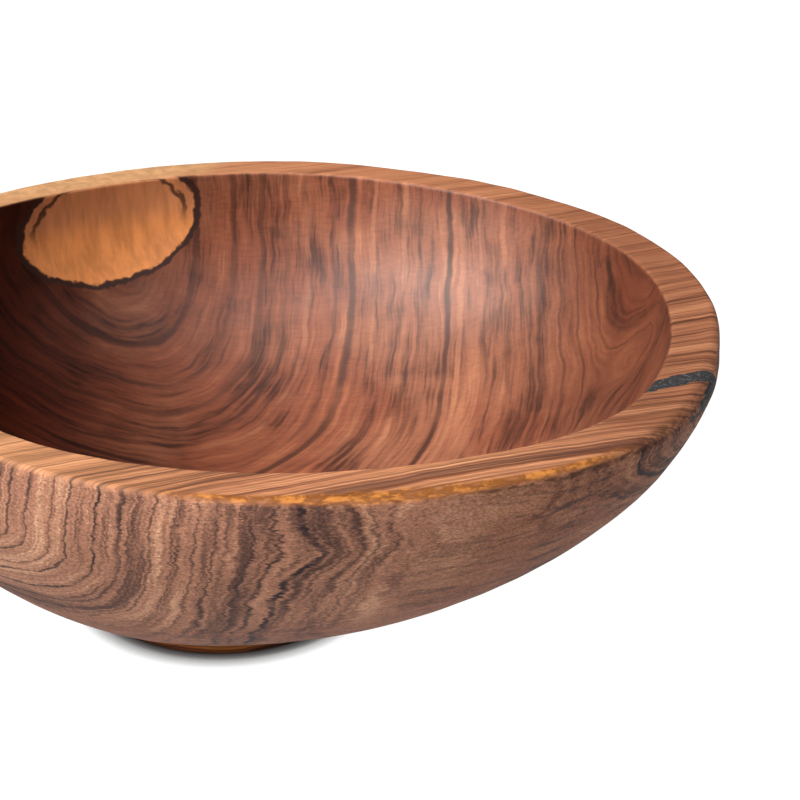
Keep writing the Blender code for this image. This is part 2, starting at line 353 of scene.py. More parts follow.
def outer_growth(angle, down, size):
    """Growth on the outer wall: the edge's own growth at an angle that the lines start from.

    The lines run straight down at first. Past a start that is higher up at either side, they have
    turned away from the fan's middle by a share u / (1 + u) of the turn, where u is 1.6 times
    the run past the start over 34 mm, to the power 1.5, times the turn in radians, at least 0.1.
    A hump near the top bends the lines round -82 degrees to the right and back.
    """
    turn = np.angle(np.exp(1j * (angle + np.radians(86.0))))
    start = 25.0 - 9.0 * smooth_step(-turn, 0.2, 0.7) - 20.0 * smooth_step(turn, 0.3, 0.7)
    run = (np.maximum(down - start, 0.0) / 34.0) ** 1.5
    fan = 1.6 * run * np.maximum(np.abs(turn), 0.1)
    bulge = np.radians(4.0 * hump(angle, -81.0, 7.0)) * np.exp(-(((down - 14.0) / 7.0) ** 2))
    turned = angle - turn * fan / (1.0 + fan) - bulge
    x = (size.mouth_offset + size.mouth_radius * np.cos(turned)) / MM
    y = size.mouth_radius * np.sin(turned) / MM
    return rim_growth(x, y)


def hollow_growth(x, y):
    """Growth in the hollow: the 3.5th root of the sum of 3.5th powers of the distances from a far corner.

    A dip beside the right rim sends the lines out to it and back.
    """
    corner = (np.abs(x + 60.0) ** 3.5 + np.maximum(118.0 - y, 0.0) ** 3.5) ** (1.0 / 3.5)
    dip = 12.0 * np.exp(-(((x - 126.0) / 13.0) ** 2) - ((y - 20.0) / 17.0) ** 2)
    lean = 0.10 * np.maximum(x - 70.0, 0.0) * np.clip((y - 60.0) / 40.0, -1.2, 1.0)
    return corner - dip + lean


def sapwood_distance(x, y, z, beyond_hollow):
    """Distance into the sapwood, in millimetres: past a slanting plane, which bends away on the rim."""
    bend = 0.095 * np.maximum(x + 17.0, 0.0) ** 2 * beyond_hollow
    return -0.529 * x + 0.839 * y - 0.129 * z - 87.0 - np.minimum(bend, 60.0)


def heart_and_shade_depth(x, y):
    """1 at the dark left of the hollow, which is darker heartwood and partly painted shade, fading to 0
    towards its middle and back.
    """
    return smooth_step(-x - 0.30 * np.maximum(y - 40.0, 0.0), -50.0, 75.0)


def window(angle, start, end, soft):
    """1 between two angles in degrees, and 0 outside them, with soft ends."""
    degrees = np.degrees(angle)
    return smooth_step(degrees, start - soft, start + soft) * smooth_step(-degrees, -end - soft, -end + soft)


def edge_glow(angle, down):
    """Orange band on the front edge: a flat-topped hump across it that narrows to the right."""
    half = 1.0 + 0.9 * hump(angle, -76.0, 12.0)
    return window(angle, -99.0, -49.0, 5.0) * np.exp(-(((down + 0.7) / half) ** 4))


def edge_darkening(angle, down):
    """Dark band just under the right part of the orange one, and a broader darker brown band on the edge
    past it.
    """
    under = window(angle, -70.0, -40.0, 5.0) * np.exp(-(((down - 0.9) / 0.7) ** 2))
    stain = 0.8 * window(angle, -44.0, -20.0, 4.0) * np.exp(-(((down + 0.6) / 1.7) ** 2))
    return np.maximum(under, stain)


def slope_along(points, values):
    """How fast values change along a surface grid: the root of the summed squares of both slopes."""
    rows = np.linalg.norm(np.gradient(points, axis=0), axis=-1) / MM
    columns = np.linalg.norm(np.gradient(points, axis=1), axis=-1) / MM
    along = np.gradient(values, axis=0) / np.maximum(rows, 1e-4)
    around = np.gradient(values, axis=1) / np.maximum(columns, 1e-4)
    return np.hypot(along, around)


# ---- Meshes from grids ----


def grid_faces(rows, columns, wrapped):
    """Quads between neighbouring rows and columns, the last column joined to the first if wrapped."""
    row = np.arange(rows - 1)[:, None]
    column = np.arange(columns if wrapped else columns - 1)[None, :]
    beside = (column + 1) % columns
    corners = [row * columns + column, (row + 1) * columns + column]
    corners += [(row + 1) * columns + beside, row * columns + beside]
    return np.stack(np.broadcast_arrays(*corners), axis=-1).reshape(-1, 4)


def new_piece(name, vertices, quads, triangles, fields):
    """A smooth-shaded mesh object at the origin, with a number at each vertex for every field."""
    mesh = bpy.data.meshes.new(name)
    corners = np.concatenate([quads.reshape(-1), triangles.reshape(-1)]).astype(np.int32)
    sizes = np.concatenate([np.full(len(quads), 4), np.full(len(triangles), 3)])
    starts = np.concatenate([[0], np.cumsum(sizes)[:-1]]).astype(np.int32)
    mesh.vertices.add(len(vertices))
    mesh.loops.add(len(corners))
    mesh.polygons.add(len(sizes))
    mesh.vertices.foreach_set("co", np.asarray(vertices, np.float32).reshape(-1))
    mesh.loops.foreach_set("vertex_index", corners)
    mesh.polygons.foreach_set("loop_start", starts)
    for field, values in fields.items():
        attribute = mesh.attributes.new(field, "FLOAT", "POINT")
        attribute.data.foreach_set("value", np.asarray(values, np.float32).reshape(-1))
    mesh.update(calc_edges=True)
    mesh.validate()
    mesh.shade_smooth()
    piece = bpy.data.objects.new(name, mesh)
    bpy.context.scene.collection.objects.link(piece)
    return piece


def closed_turning(name, rows, fields):
    """A closed piece from rows of rings: quads between the rings, and a fan to a pole at each end."""
    ring_count, columns = rows.shape[:2]
    vertices = np.concatenate([rows.reshape(-1, 3), rows[:1].mean(axis=1), rows[-1:].mean(axis=1)])
    first, last = ring_count * columns, ring_count * columns + 1
    ring = np.arange(columns)
    beside = (ring + 1) % columns
    lowest = (ring_count - 1) * columns
    fan_in = np.stack([np.full(columns, first), ring, beside], axis=-1)
    fan_out = np.stack([np.full(columns, last), lowest + beside, lowest + ring], axis=-1)
    quads = grid_faces(ring_count, columns, wrapped=True)
    ends = {
        field: np.concatenate([v.reshape(-1), [v[0].mean()], [v[-1].mean()]]) for field, v in fields.items()
    }
    return new_piece(name, vertices, quads, np.concatenate([fan_in, fan_out]), ends)


def stations(*counts):
    """Stations of the body's profile, with that many steps on each of its stretches."""
    stretches = [part + np.arange(1, count + 1) / count for part, count in enumerate(counts)]
    return np.concatenate(stretches)


def body_surface(size, angle, station):
    """Points of the carved profile at these angles and stations, and the numbers that place its wood.

    down and outwards are millimetres along the profile, from the middles of the outer and inner roundings.
    """
    radius, height = body_profile(size, angle, station)
    points = carve(radius, np.broadcast_to(angle, radius.shape), height, size)
    steps = np.hypot(np.diff(radius, axis=0), np.diff(height, axis=0))
    run = np.concatenate([np.zeros((1, len(angle))), np.cumsum(steps, axis=0)])
    edge_row = int(np.argmin(np.abs(station - 3.5)))
    down = (run - run[edge_row]) / MM
    inner_row = int(np.argmin(np.abs(station - 1.5)))
    outwards = (run - run[inner_row]) / MM
    x, y, z = np.moveaxis(points, -1, 0) / MM
    turn = np.broadcast_to(np.angle(np.exp(1j * angle)), x.shape)
    on_wall = smooth_step(down, -0.3, 0.9)
    hollow = hollow_growth(x, y)
    outer = (1.0 - on_wall) * rim_growth(x, y) + on_wall * outer_growth(turn, down, size)
    sapwood = sapwood_distance(x, y, z, smooth_step(outwards, -3.0, 1.0))
    fields = {
        "hollow_growth": hollow,
        "hollow_slope": np.clip(slope_along(points, hollow), 0.15, 2.0),
        "outer_growth": outer,
        "outer_slope": np.clip(slope_along(points, outer), 0.12, 2.0),
        "beyond_hollow": smooth_step(outwards, -0.5, 0.5),
        "on_wall": smooth_step(down, -0.6, 1.4),
        "sapwood": sapwood / np.clip(slope_along(points, sapwood), 0.3, 1.5),
        # heart: the dark left of the hollow, darker heartwood and partly painted shade.
        "heart": heart_and_shade_depth(x, y),
        "near_rim": smooth_step(outwards, -17.0, -8.0),
        "umber": smooth_step(x, 70.0, 118.0),
        "calm": 1.0 - 0.5 * smooth_step(y, 0.0, 80.0),
        # pale: 1 at the left; it makes the rim paler there (paler wood and painted light) and the wall
        # darker (painted shade).
        "pale": smooth_step(-x, -30.0, 60.0),
        # The right and lowest wall: dark streaks in the wood, and a tint there that is partly painted shade.
        "smoky": 0.10 + 0.90 * np.maximum(window(turn, -68.0, 20.0, 10.0), smooth_step(down, 38.0, 60.0)),
        "glow": edge_glow(turn, down),
        "burn": edge_darkening(turn, down),
        "chips": window(turn, -51.0, -43.0, 2.0) * np.exp(-(((outwards + 0.3) / 0.6) ** 2)),
        "crack": distance_from_crack(points, size) / MM + 6.0 * np.maximum(-outwards - 0.1, 0.0),
    }
    return points, fields


# ---- Node wiring ----


class Wires:
    """Adds nodes to one node tree. An input is a number, a tuple or another node's socket."""

    def __init__(self, tree):
        self.tree = tree

    def node(self, kind, inputs=(), output=0, **settings):
        """Adds a node with these inputs and settings, and returns that output of it."""
        made = self.tree.nodes.new(kind)
        for name, value in settings.items():
            setattr(made, name, value)
        for key, value in dict(inputs).items():
            self.join(made.inputs[key], value)
        return made.outputs[output]

    def join(self, socket, value):
        """Links a socket to the input, or sets the input's own value."""
        if isinstance(value, bpy.types.NodeSocket):
            self.tree.links.new(value, socket)
        elif value is not None:
            socket.default_value = value

    def math(self, operation, first, second=None, clamp=False):
        return self.node("ShaderNodeMath", {0: first, 1: second}, operation=operation, use_clamp=clamp)

    def add(self, *values):
        return functools.reduce(functools.partial(self.math, "ADD"), values)

    def times(self, *values):
        return functools.reduce(functools.partial(self.math, "MULTIPLY"), values)

    def dot(self, first, second):
        return self.node("ShaderNodeVectorMath", {0: first, 1: second}, "Value", operation="DOT_PRODUCT")

    def spread(self, value, low, high, start=0.0, end=1.0):
        """start below low, end above high, and a smooth S between."""
        values = {"Value": value, "From Min": low, "From Max": high, "To Min": start, "To Max": end}
        return self.node("ShaderNodeMapRange", values, interpolation_type="SMOOTHSTEP")

    def noise(self, vector, scale=1.0, detail=2.0, roughness=0.5, distortion=0.0):
        values = {"Vector": vector, "Scale": scale, "Detail": detail, "Roughness": roughness}
        return self.node("ShaderNodeTexNoise", {**values, "Distortion": distortion})

    def stretch(self, vector, scale, turn=(0.0, 0.0, 0.0)):
        """The vector with its axes scaled, then turned."""
        values = {"Vector": vector, "Scale": scale, "Rotation": turn}
        return self.node("ShaderNodeMapping", values, vector_type="POINT")

    def cloud(self, place, waves_per_mm, detail=2.0, roughness=0.5, distortion=0.0):
        """Noise with about that many waves a millimetre along each axis."""
        return self.noise(self.stretch(place, waves_per_mm), 1.0, detail, roughness, distortion)

    def shake(self, place, *figure):
        """The same noise less a half, so that it goes either way of 0."""
        return self.add(self.cloud(place, *figure), -0.5)

    def mix(self, factor, first, second):
        """first at factor 0, second at factor 1."""
        return self.node("ShaderNodeMix", {0: factor, 2: first, 3: second}, data_type="FLOAT")

    def mix_colour(self, factor, first, second, blend="MIX"):
        """The first colour at factor 0, and the blend of both at factor 1."""
        values = {0: factor, 6: rgba(first), 7: rgba(second)}
        return self.node("ShaderNodeMix", values, output=2, data_type="RGBA", blend_type=blend)

    def grey(self, value):
        """A grey colour of that value."""
        return self.node("ShaderNodeCombineColor", {0: value, 1: value, 2: value})

    def shade(self, colour_in, value):
        """The colour times a number."""
        return self.mix_colour(1.0, colour_in, self.grey(value), "MULTIPLY")

    def field(self, name):
        """A number that the mesh holds at each vertex."""
        return self.node("ShaderNodeAttribute", output="Fac", attribute_name=name)


def rgba(value):
    """A colour with its alpha, or a socket unchanged."""
    return value if isinstance(value, bpy.types.NodeSocket) else (*tuple(value)[:3], 1.0)


def new_group(name, inputs, outputs):
    """An empty node group with named inputs and outputs, its wires, and its inputs' sockets by name."""
    group = bpy.data.node_groups.new(name, "ShaderNodeTree")
    for label, kind, default in inputs:
        socket = group.interface.new_socket(name=label, in_out="INPUT", socket_type=f"NodeSocket{kind}")
        socket.default_value = default
    for label, kind in outputs:
        group.interface.new_socket(name=label, in_out="OUTPUT", socket_type=f"NodeSocket{kind}")
    wires = Wires(group)
    entry = group.nodes.new("NodeGroupInput")
    return group, wires, {label: entry.outputs[label] for label, _, _ in inputs}


def finish_group(wires, values):
    """Joins the group's results to its outputs."""
    leaving = wires.tree.nodes.new("NodeGroupOutput")
    for label, value in values.items():
        wires.join(leaving.inputs[label], value)


def use_group(wires, group, **inputs):
    """Places a group and returns its outputs by name."""
    made = wires.tree.nodes.new("ShaderNodeGroup")
    made.node_tree = group
    for label, value in inputs.items():
        wires.join(made.inputs[label], value)
    return {output.name: output for output in made.outputs}


# ---- Node groups that more than one material uses ----

FIBRE_TURN = (0.0, 0.0, -math.radians(24.8))  # brings the wood's fibre direction onto X
ALONG_LINES = ((0.07, 0.05, 0.0), (0.0, 0.0, 0.12))  # waves a millimetre along the growth lines, and down


def growth_group():
    """Tone of wood along its growth: bands, lines and fine lines, each of about its own width.

    Each is noise that changes fast with the growth and slowly along the growth lines.
    """
    inputs = [("Growth", "Float", 0.0), ("Position", "Vector", (0.0, 0.0, 0.0)), ("Contrast", "Float", 1.0)]
    inputs += [(label, "Float", width) for label, width in (("Band", 9.0), ("Line", 3.0), ("Fine", 1.0))]
    inputs += [("Length", "Float", 1.0)]
    group, wires, at = new_group("growth figure", inputs, [("Tone", "Float")])
    along, down = (wires.math("DIVIDE", wires.dot(at["Position"], way), at["Length"]) for way in ALONG_LINES)
    vector = wires.node("ShaderNodeCombineXYZ", {0: at["Growth"], 1: along, 2: down})
    tone = 0.5
    for label, share, detail in (("Band", 1.0, 1.0), ("Line", 1.1, 1.5), ("Fine", 0.9, 1.0)):
        noise = wires.noise(vector, wires.math("DIVIDE", 1.0, at[label]), detail)
        tone = wires.add(tone, wires.times(wires.add(noise, -0.5), share, at["Contrast"]))
    finish_group(wires, {"Tone": wires.math("ADD", tone, 0.0, clamp=True)})
    return group


def fibre_group():
    """Fibre of the wood: fine streaks and short flecks drawn out along the fibre direction."""
    inputs = [("Position", "Vector", (0.0, 0.0, 0.0))]
    group, wires, at = new_group("wood fibre", inputs, [("Streak", "Float"), ("Fleck", "Float")])
    streak = wires.noise(wires.stretch(at["Position"], (0.132, 1.1, 1.1), FIBRE_TURN), 1.0, 3.0, 0.6)
    fleck = wires.noise(wires.stretch(at["Position"], (0.33, 1.95, 2.85), FIBRE_TURN), 1.0, 2.0, 0.7)
    finish_group(wires, {"Streak": streak, "Fleck": wires.spread(fleck, 0.60, 0.74)})
    return group


GROUPS = {}


def group_set():
    """The shared node groups, made the first time that they are asked for."""
    if not GROUPS:
        GROUPS.update(growth=growth_group(), fibre=fibre_group())
    return GROUPS


# ---- Woods ----

# Widths of the bands, lines and fine lines in growth, their stretch along the lines, and their contrast.
HOLLOW_FIGURE = {"Band": 11.0, "Line": 2.6, "Fine": 0.9, "Length": 1.2, "Contrast": 0.9}
RIM_FIGURE = {"Band": 3.2, "Line": 1.0, "Fine": 0.4, "Length": 7.0, "Contrast": 1.2}
WALL_FIGURE = {"Band": 5.0, "Line": 1.4, "Fine": 0.5, "Length": 4.0, "Contrast": 1.3}
FOOT_FIGURE = {"Band": 4.0, "Line": 1.6, "Fine": 0.6, "Length": 1.0, "Contrast": 1.2}

# (growth, half width in millimetres, strength) of the growth lines that stand out.
WALL_LINES = (
    (-83.5, 0.5, 0.5), (-87.8, 0.5, 0.6), (-92.8, 0.4, 0.45), (-96.0, 0.6, 0.8),
    (-101.3, 0.65, 0.95), (-105.6, 0.45, 0.5), (-107.6, 0.5, 0.5), (-110.2, 0.6, 0.65),
    (-113.3, 0.5, 0.6), (-116.2, 0.5, 0.55), (-118.4, 0.6, 0.65), (-121.9, 0.7, 0.75),
    (-123.6, 0.8, 0.8), (-125.6, 1.3, 1.0), (-130.3, 0.7, 0.6), (-131.6, 0.6, 0.5),
)
HOLLOW_DARK_LINES = (
    (127.5, 1.5, 1.0), (95.5, 1.9, 0.9), (157.0, 0.9, 0.5), (90.0, 1.0, 0.4),
    (74.0, 1.2, 0.45), (66.0, 1.6, 0.6), (57.0, 1.4, 0.6), (45.0, 1.8, 0.75),
    (118.0, 0.8, 0.3), (163.0, 0.8, 0.5), (168.0, 0.8, 0.6), (173.0, 0.7, 0.5),
)
HOLLOW_LIGHT_LINES = (
    (113.0, 1.3, 0.6), (131.5, 1.3, 0.6), (146.0, 1.2, 0.7), (103.0, 1.1, 0.4),
    (138.0, 0.8, 0.3), (81.0, 1.3, 0.4), (160.0, 0.8, 0.4), (170.5, 0.8, 0.4),
)


def growth_tone(wires, growth, place, figure):
    """Tone of the wood with that figure."""
    return use_group(wires, group_set()["growth"], Growth=growth, Position=place, **figure)["Tone"]


def growth_lines(wires, growth, slope, lines):
    """Mask of single growth lines, each given by its growth, half width in millimetres and strength."""
    mask = 0.0
    for place, half_width, strength in lines:
        away = wires.math("DIVIDE", wires.math("ABSOLUTE", wires.add(growth, -place)), slope)
        line = wires.spread(away, 0.25 * half_width, half_width, strength, 0.0)
        mask = wires.math("MAXIMUM", mask, line)
    return mask


def three_tones(wires, tone, colours, wood):
    """That wood's dark, middle and light colours in turn as the tone goes from 0 to 1."""
    dark, middle, light = (getattr(colours, f"{wood}_{part}") for part in ("dark", "mid", "light"))
    lower = wires.mix_colour(wires.spread(tone, 0.12, 0.55), dark, middle)
    return wires.mix_colour(wires.spread(tone, 0.5, 0.95), lower, light)


def quieter(wires, tone, share):
    """The tone drawn towards its middle."""
    return wires.add(wires.times(wires.add(tone, -0.5), share), 0.5)


def streaked(wires, wood, fibre, strength):
    """The wood's colour with its fibre's streaks, darker and lighter by up to half the strength."""
    return wires.shade(wood, wires.add(wires.times(wires.add(fibre["Streak"], -0.5), strength), 1.0))


def hollow_wood(wires, place, colours):
    """Colour inside the bowl: wavering growth lines, some single dark and orange ones, and a dark left that
    is partly painted shade.
    """
    slow = wires.times(wires.shake(place, (0.035, 0.035, 0.06)), 4.5)
    quick = wires.times(wires.shake(place, (0.08, 0.08, 0.13), 2.0, 0.55), 1.7)
    shaken = wires.add(wires.field("hollow_growth"), slow, quick)
    slope = wires.field("hollow_slope")
    tone = quieter(wires, growth_tone(wires, shaken, place, HOLLOW_FIGURE), 0.75)
    mottle = wires.shake(place, (0.05, 0.05, 0.07), 4.0, 0.6, 0.5)
    base = three_tones(wires, wires.add(tone, wires.times(mottle, 0.6)), colours, "inside")
    ruddy = wires.spread(wires.cloud(place, (0.022, 0.022, 0.03), 2.0, 0.5, 0.3), 0.42, 0.62, 0.0, 0.8)
    base = wires.mix_colour(ruddy, base, colours.inside_ruddy, "MULTIPLY")
    patch = wires.cloud(place, (0.05, 0.05, 0.07), 1.0)
    light = growth_lines(wires, shaken, slope, HOLLOW_LIGHT_LINES)
    base = wires.mix_colour(wires.times(light, wires.spread(patch, 0.3, 0.62)), base, colours.inside_light)
    dark = growth_lines(wires, shaken, slope, HOLLOW_DARK_LINES)
    dark = wires.times(dark, wires.spread(patch, 0.45, 0.7, 1.0, 0.6))
    base = wires.mix_colour(dark, base, colours.inside_dark)
    # Darkens and reddens the left of the hollow: darker heartwood, and partly painted shade where the wall
    # faces away from the light.
    base = wires.mix_colour(wires.field("heart"), base, colours.inside_heart_and_shade, "MULTIPLY")
    return wires.mix_colour(wires.field("umber"), base, colours.inside_umber, "MULTIPLY")


def outer_figure(wires, place):
    """Growth on the rim and outer wall, shaken quickly with height and slowly along the level."""
    jags = wires.times(wires.shake(place, (0.05, 0.05, 0.17), 3.0, 0.55), 2.2)
    sway = wires.times(wires.shake(place, (0.03, 0.03, 0.05), 1.0), 1.2)
    feather = wires.times(wires.shake(place, (0.22, 0.22, 1.1), 2.0, 0.6), wires.field("on_wall"), 1.3)
    return wires.add(wires.field("outer_growth"), jags, sway, feather)


def streaks_and_painted_shade(wires, place, wall, colours):
    """Dark and tan stains drawn out along the level, strongest on the right and the lowest of the wall,
    under a browning tint there that is partly painted shade.
    """
    smoky = wires.field("smoky")
    pale = wires.cloud(place, (0.078, 0.078, 0.715), 4.0, 0.65, 0.4)
    pale = wires.times(smoky, wires.spread(pale, 0.45, 0.70, 0.0, 0.5))
    wall = wires.mix_colour(pale, wall, colours.wall_light)
    # Partly painted shade: the umber tint browns and darkens the right and lowest wall, which face away from
    # the light and down.
    wall = wires.mix_colour(smoky, wall, colours.wall_umber_and_shade, "MULTIPLY")
    dark = wires.cloud(place, (0.04, 0.04, 0.30), 4.0, 0.65, 0.8)
    dark = wires.times(smoky, wires.spread(dark, 0.50, 0.70, 0.0, 0.9))
    return wires.mix_colour(dark, wall, colours.wall_dark)


def wall_wood(wires, place, shaken, lines, colours, fibre):
    """Colour of the outer wall: jagged growth lines, stains under a browning tint that is partly painted
    shade, pale flecks, fine speckle, and painted shade that darkens its left.
    """
    tone = quieter(wires, growth_tone(wires, shaken, place, WALL_FIGURE), 0.7)
    wall = streaks_and_painted_shade(wires, place, three_tones(wires, tone, colours, "wall"), colours)
    wall = wires.mix_colour(wires.times(fibre["Fleck"], 0.5), wall, colours.wall_light)
    fade = wires.spread(wires.cloud(place, (0.06, 0.06, 0.25), 3.0, 0.6), 0.3, 0.55, 0.45, 1.0)
    wall = wires.mix_colour(wires.times(lines, fade), wall, colours.growth_line)
    speckle = wires.add(1.0, wires.times(wires.shake(place, (1.17, 1.17, 2.34), 2.0, 0.7), 2.2))
    # Painted shade: a plain grey darkening of the wall towards the left, where the light falls strongest.
    painted_shade_left = wires.spread(wires.field("pale"), 0.0, 1.0, 1.0, 0.86)
    return wires.shade(wall, wires.times(painted_shade_left, speckle))


def rim_wood(wires, place, tone, lines, colours):
    """Colour of the rim: fine lines, paler at the left (paler wood and painted light), browner at the right,
    and a few pale chips.
    """
    rim = three_tones(wires, quieter(wires, tone, wires.field("calm")), colours, "rim")
    # Paler towards the left: partly paler wood and partly painted light falling from the left.
    rim = wires.mix_colour(wires.times(wires.field("pale"), 0.35), rim, colours.sapwood_rim)
    rim = wires.mix_colour(wires.times(lines, 0.7), rim, colours.rim_line)
    rim = wires.mix_colour(wires.field("umber"), rim, colours.rim_umber, "MULTIPLY")
    chips = wires.spread(wires.noise(place, 0.9, 2.0, 0.6), 0.52, 0.60)
    return wires.mix_colour(wires.times(chips, wires.field("chips")), rim, colours.chip)


def outer_wood(wires, place, colours, fibre):
    """Colour of the rim and the outer wall with its orange edge and darker brown edge bands, and the rim's
    tone.
    """
    shaken = outer_figure(wires, place)
    tone = growth_tone(wires, shaken, place, RIM_FIGURE)
    lines = growth_lines(wires, shaken, wires.field("outer_slope"), WALL_LINES)
    rim = rim_wood(wires, place, tone, lines, colours)
    wall = wall_wood(wires, place, shaken, lines, colours, fibre)
    outside = wires.mix_colour(wires.field("on_wall"), rim, wall)
    blotch = wires.cloud(place, (0.22, 0.22, 0.9), 3.0, 0.65)
    glow = wires.times(wires.field("glow"), wires.spread(blotch, 0.25, 0.5, 0.35, 1.0))
    orange = wires.mix_colour(wires.spread(blotch, 0.45, 0.62), colours.edge_glow, colours.edge_light)
    outside = wires.mix_colour(glow, outside, orange)
    # Darker brown along the right of the edge and just under the orange band.
    edge_dark_brown = wires.times(wires.field("burn"), wires.spread(blotch, 0.35, 0.6, 0.2, 0.9))
    return wires.mix_colour(edge_dark_brown, outside, colours.edge_dark_brown), tone


def sapwood_colour(wires, place, beyond, colours):
    """Colour of the sapwood, brown and faintly streaked in the hollow and paler on the rim."""
    cloud = wires.spread(wires.cloud(place, (0.05, 0.05, 0.05)), 0.40, 0.65, 0.0, 0.4)
    brown = wires.times(wires.math("MAXIMUM", cloud, wires.field("near_rim")), 0.6)
    inside = wires.mix_colour(brown, colours.sapwood, colours.inside_light)
    upright = wires.cloud(place, (0.30, 0.30, 0.05), 3.0, 0.6)
    level = wires.cloud(place, (0.05, 0.05, 0.55), 3.0, 0.6)
    streaks = wires.spread(wires.mix(wires.field("on_wall"), upright, level), 0.3, 0.7, 0.80, 1.12)
    return wires.shade(wires.mix_colour(beyond, inside, colours.sapwood_rim), streaks)


def stripe(wires, value, middle, inner, outer, strength):
    """strength within inner of the middle, fading to 0 at outer."""
    away = wires.math("ABSOLUTE", wires.add(value, -middle))
    return wires.spread(away, inner, outer, strength, 0.0)


def sapwood_over(wires, place, heart, beyond, colours):
    """Sapwood over the heartwood. In the hollow a dark stepped line parts them, on the rim they blend."""
    steps = wires.times(wires.shake(place, (0.16, 0.16, 0.16)), 3.0)
    small = wires.times(wires.shake(place, (0.5, 0.5, 0.4), 1.0), 1.6)
    inwards = wires.add(wires.field("sapwood"), steps, small)
    soft = wires.mix(beyond, 0.4, 9.0)
    share = wires.spread(inwards, wires.times(soft, -1.0), soft)
    blend = wires.mix_colour(share, heart, sapwood_colour(wires, place, beyond, colours))
    border = stripe(wires, inwards, -0.5, 0.6, 1.4, 0.95)
    second = wires.times(stripe(wires, inwards, 3.4, 0.3, 1.0, 0.85), wires.field("near_rim"))
    line = wires.times(wires.math("MAXIMUM", border, second), wires.math("SUBTRACT", 1.0, beyond))
    return wires.mix_colour(line, blend, colours.border)


# ---- Materials ----


def new_material(name, specular, roughness=None):
    """A material with those constants, its wires and its shader."""
    material = bpy.data.materials.new(name)
    material.use_nodes = True
    shader = material.node_tree.nodes["Principled BSDF"]
    wires = Wires(material.node_tree)
    wires.join(shader.inputs["Specular IOR Level"], specular)
    wires.join(shader.inputs["Roughness"], roughness)
    return material, wires, shader


def position_in_mm(wires):
    """Object coordinates in millimetres."""
    place = wires.node("ShaderNodeTexCoord", output="Object")
    return wires.stretch(place, (1.0 / MM, 1.0 / MM, 1.0 / MM))


def bump(wires, height, distance, strength):
    """Normal of a surface raised by the height times the distance."""
    values = {"Height": height, "Distance": distance, "Strength": strength}
    return wires.node("ShaderNodeBump", values)


def bowl_material(colours):
    """Oiled wood with a soft gloss in the hollow, which fades into the dark left, darker heartwood and
    partly painted shade.
    """
    material, wires, shader = new_material("bowl wood", 0.12)
    shader.inputs["Coat Roughness"].default_value = 0.50
    place = position_in_mm(wires)
    fibre = use_group(wires, group_set()["fibre"], Position=place)
    beyond = wires.field("beyond_hollow")
    inside = hollow_wood(wires, place, colours)
    outside, tone = outer_wood(wires, place, colours, fibre)
    heart = streaked(wires, wires.mix_colour(beyond, inside, outside), fibre, 0.6)
    wires.join(shader.inputs["Base Color"], sapwood_over(wires, place, heart, beyond, colours))
    dull = wires.mix(wires.field("on_wall"), 0.55, 0.65)
    wires.join(shader.inputs["Roughness"], wires.mix(beyond, 0.45, dull))
    gloss = wires.mix(wires.field("heart"), 0.62, 0.1)
    wires.join(shader.inputs["Coat Weight"], wires.mix(beyond, gloss, 0.03))
    relief = wires.add(wires.times(fibre["Streak"], 0.8), wires.times(tone, 0.12))
    wires.join(shader.inputs["Normal"], bump(wires, relief, 0.00012, 0.5))
    return material


def filler_material(colours):
    """Charcoal-coloured fill with paler specks and a gritty surface."""
    material, wires, shader = new_material("crack filler", 0.4, 0.7)
    place = position_in_mm(wires)
    specks = wires.spread(wires.noise(place, 1.1, 3.0, 0.7), 0.50, 0.66)
    base = wires.mix_colour(wires.times(specks, 0.35), colours.filler, colours.filler_speck)
    wires.join(shader.inputs["Base Color"], base)
    grit = wires.noise(place, 3.0, 3.0, 0.7)
    wires.join(shader.inputs["Normal"], bump(wires, grit, 0.00015, 0.7))
    return material


def foot_material(colours):
    """Orange-brown wood with nearly level growth lines."""
    material, wires, shader = new_material("foot wood", 0.25, 0.5)
    place = position_in_mm(wires)
    fibre = use_group(wires, group_set()["fibre"], Position=place)
    growth = wires.add(wires.field("level_growth"), wires.times(wires.shake(place, (0.05, 0.05, 0.1)), 4.0))
    base = three_tones(wires, growth_tone(wires, growth, place, FOOT_FIGURE), colours, "foot")
    wires.join(shader.inputs["Base Color"], streaked(wires, base, fibre, 0.7))
    wires.join(shader.inputs["Normal"], bump(wires, fibre["Streak"], 0.0001, 0.5))
    return material


# ---- Operators ----


def mount(piece, node, material):
    """Gives the piece its material, and says what it rides on and replaces."""
    piece.data.materials.append(material)
    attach(piece, "root")
    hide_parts(node)


COARSE_COLUMNS = 500
FINE_COLUMNS = 140
FILLER_COLUMNS = 220
FOOT_COLUMNS = 180
FINE_FROM, FINE_TO = math.radians(-42.0), math.radians(-14.0)
BELOW_INNER_EDGE = (0.990, 0.996)  # stations added where the crack ends inside the rim


def body_angles():
    """Angles round the bowl, closer together where the crack is."""
    fine = np.linspace(FINE_FROM, FINE_TO, FINE_COLUMNS, endpoint=False)
    rest = np.linspace(FINE_TO, FINE_FROM + 2.0 * math.pi, COARSE_COLUMNS, endpoint=False)
    return np.concatenate([fine, rest])


def sanding(points):
    """Shallow unevenness left by sanding, in metres: long soft waves and smaller, shorter ones."""
    return 0.00022 * lumps(points, 0.035, 2) + 0.00006 * lumps(points, 0.011, 3)


class BOWL_OT_body(bpy.types.Operator):
    """Makes the carved body as one closed surface"""

    bl_idname = "bowl.body"
    bl_label = "Bowl body"

    def execute(self, context):
        station = np.sort(np.append(stations(60, 4, 16, 10, 56, 4)[:-1], BELOW_INNER_EDGE))
        points, fields = body_surface(context.scene.bowl_sizes, body_angles(), station)
        sunk = CRACK_DEPTH * smooth_step(-fields["crack"], 0.0, 0.35)
        fade = smooth_step(station, 0.15, 0.5) * smooth_step(-station, -5.0, -4.8)
        raised = sanding(points) * fade[:, None] - sunk
        points = points + normals_of(points) * raised[..., None]
        piece = closed_turning("bowl_body_wood", points, fields)
        mount(piece, "bowl_body", bowl_material(context.scene.bowl_colours))
        return {"FINISHED"}


